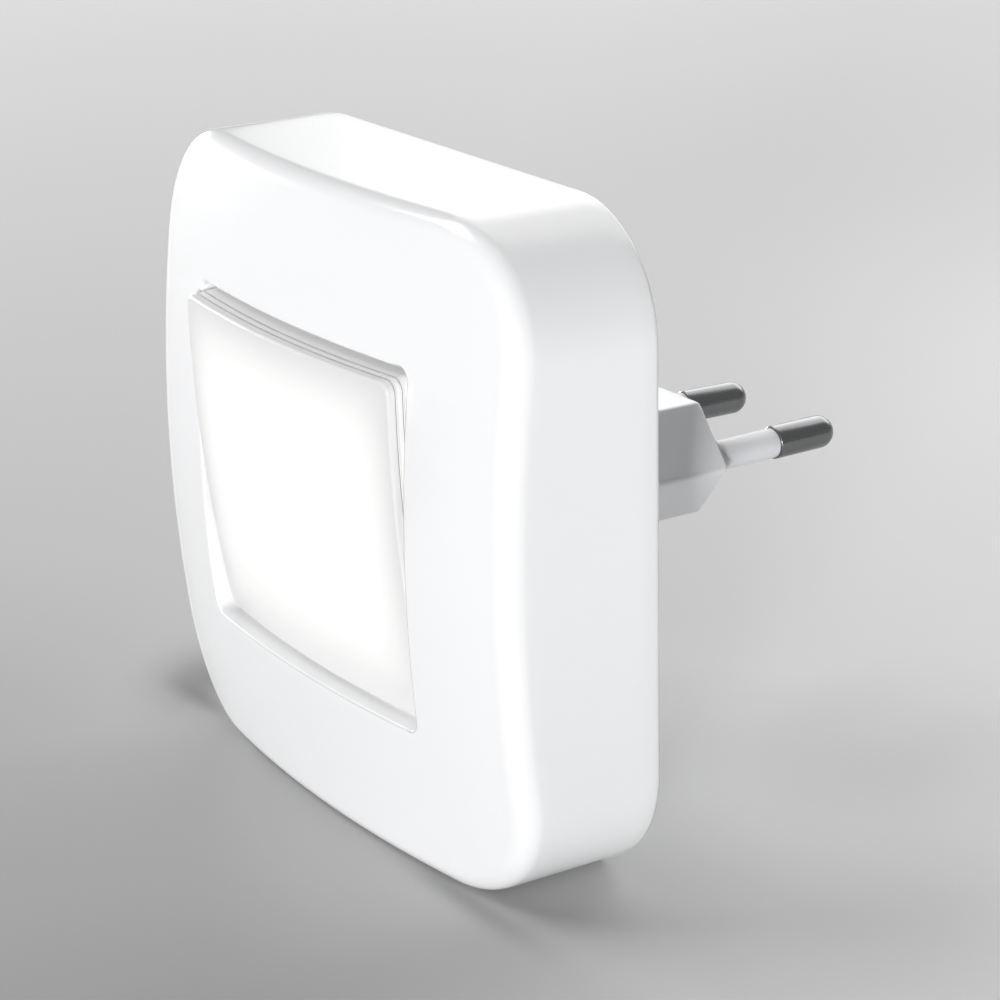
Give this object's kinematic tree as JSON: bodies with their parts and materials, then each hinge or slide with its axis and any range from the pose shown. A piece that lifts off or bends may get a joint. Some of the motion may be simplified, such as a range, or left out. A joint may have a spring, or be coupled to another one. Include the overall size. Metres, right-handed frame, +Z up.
{
  "type": "plug in night light",
  "caption": "Square plug in night light with a domed front, a lit rocker panel that switches it, and a flat two-pin mains plug behind.",
  "frame": {"origin": "middle of the plug's end face, between the two pins", "axes": "+X right seen from the front, +Y along the pins into the wall, +Z up"},
  "size_m": [0.078, 0.0713, 0.076],
  "materials": {
    "cover_white": "glossy moulded plastic",
    "plug_white": "satin moulded plastic",
    "opal": "translucent opal plastic, lit from behind",
    "pin_metal": "polished nickel plate",
    "sleeve_white": "satin insulating sleeve",
    "carrier_grey": "glass-filled moulding",
    "steel": "zinc-plated steel",
    "box_white": "matt white reflector",
    "led_board_white": "white solder resist",
    "led_yellow": "phosphor in clear resin",
    "wire_red": "insulated wire",
    "wire_brown": "insulated wire",
    "wire_blue": "insulated wire",
    "board_green": "green solder resist",
    "film_yellow": "moulded capacitor case",
    "can_blue": "sleeved aluminium can",
    "chip_black": "moulded epoxy",
    "varistor_blue": "dipped epoxy",
    "resistor_tan": "lacquered resistor",
    "fuse_green": "cement-coated resistor",
    "switch_grey": "moulded switch case",
    "knob_black": "moulded knob",
    "tin": "tinned contacts"
  },
  "bodies": {
    "housing": {"front_cover": "cover_white", "rear_cover": "plug_white", "contact_pin_left": "pin_metal", "contact_pin_right": "pin_metal", "pin_sleeve_left": "sleeve_white", "pin_sleeve_right": "sleeve_white", "pin_carrier": "carrier_grey", "light_box_screws": "steel", "board_screws": "steel", "cover_screws": "steel", "light_box": "box_white", "led_board": "led_board_white", "leds": "led_yellow", "led_leads": "wire_red", "lead_live": "wire_brown", "lead_neutral": "wire_blue", "main_board": "board_green", "film_capacitor": "film_yellow", "electrolytic_capacitor": "can_blue", "bridge_rectifier": "chip_black", "varistor": "varistor_blue", "resistors": "resistor_tan", "fuse_resistor": "fuse_green", "slide_switch_body": "switch_grey", "slide_switch_tabs": "tin"},
    "rocker": {"rocker_panel": "opal", "pivot_pins": "steel"},
    "slider": {"slide_switch_knob": "knob_black"}
  },
  "joints": [
    {"name": "rocker_tilt", "type": "hinge", "parent": "housing", "child": "rocker", "pos_m": [0, -0.0454, 0.0023], "axis": [-1, 0, 0], "range_deg": [0, 11.8]},
    {"name": "switch_slide", "type": "slide", "parent": "housing", "child": "slider", "axis": [0, 0, -1], "range_m": [0, 0.00131]}
  ],
  "couplings": [
    {"joint": "switch_slide", "follows": "rocker_tilt", "m_per_rad": 0.0063637}
  ]
}
